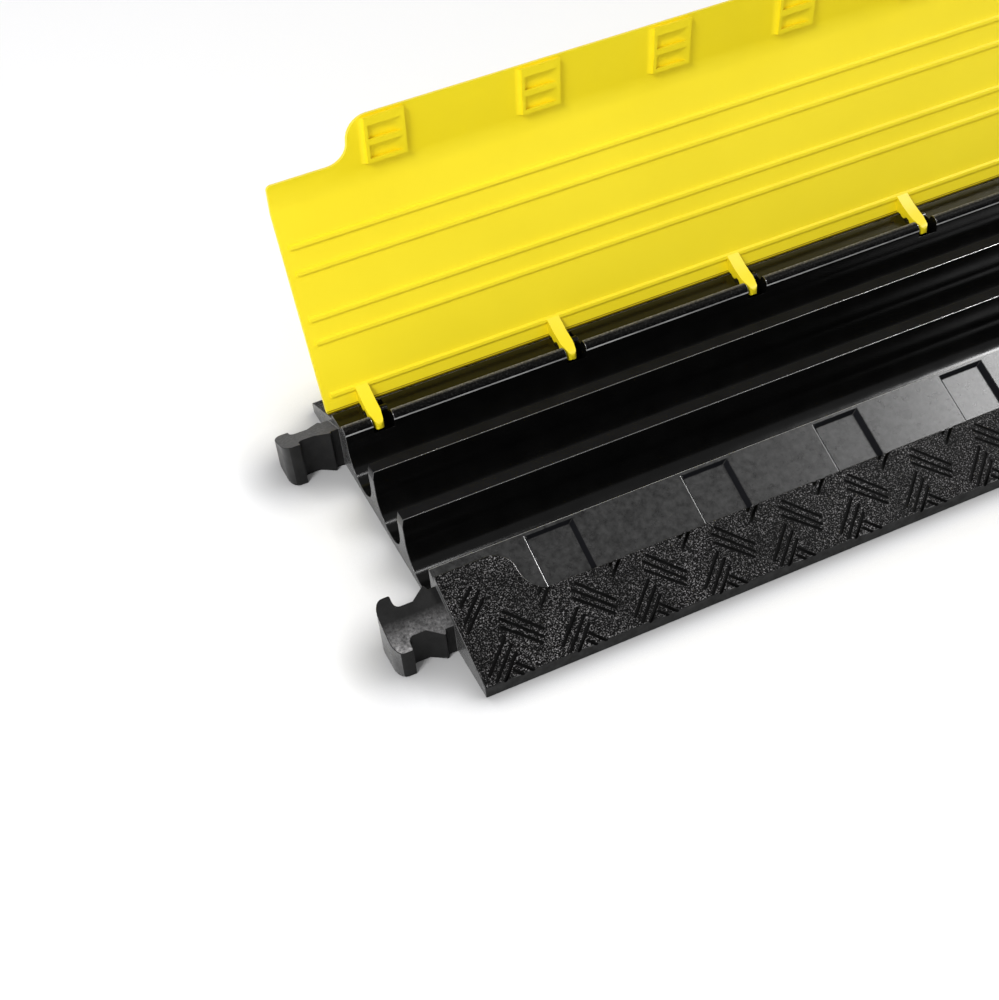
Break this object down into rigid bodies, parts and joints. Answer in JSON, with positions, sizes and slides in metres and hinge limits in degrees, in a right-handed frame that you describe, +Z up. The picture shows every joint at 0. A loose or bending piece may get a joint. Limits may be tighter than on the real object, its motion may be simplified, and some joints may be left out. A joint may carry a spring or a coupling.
{
  "type": "floor cord cover",
  "caption": "Section of floor cord cover: black rubber base with three cable channels between two ramps, and a yellow hinged lid standing open.",
  "frame": {"origin": "middle of the base's underside, between its two end faces, on the floor", "axes": "+X along the channels, from the end with the connectors to the end with the sockets; +Y from the front ramp to the rear ramp and the hinge; +Z up"},
  "size_m": [1.038, 0.2828, 0.2118],
  "materials": {
    "base_rubber": "satin",
    "lid_plastic": "satin"
  },
  "bodies": {
    "base_body": {"base": "base_rubber"},
    "lid_body": {"lid": "lid_plastic"}
  },
  "joints": [
    {"name": "lid_hinge", "type": "hinge", "parent": "base_body", "child": "lid_body", "pos_m": [0, 0.0837, 0.0316], "axis": [1, 0, 0], "range_deg": [0, 107.9]}
  ]
}
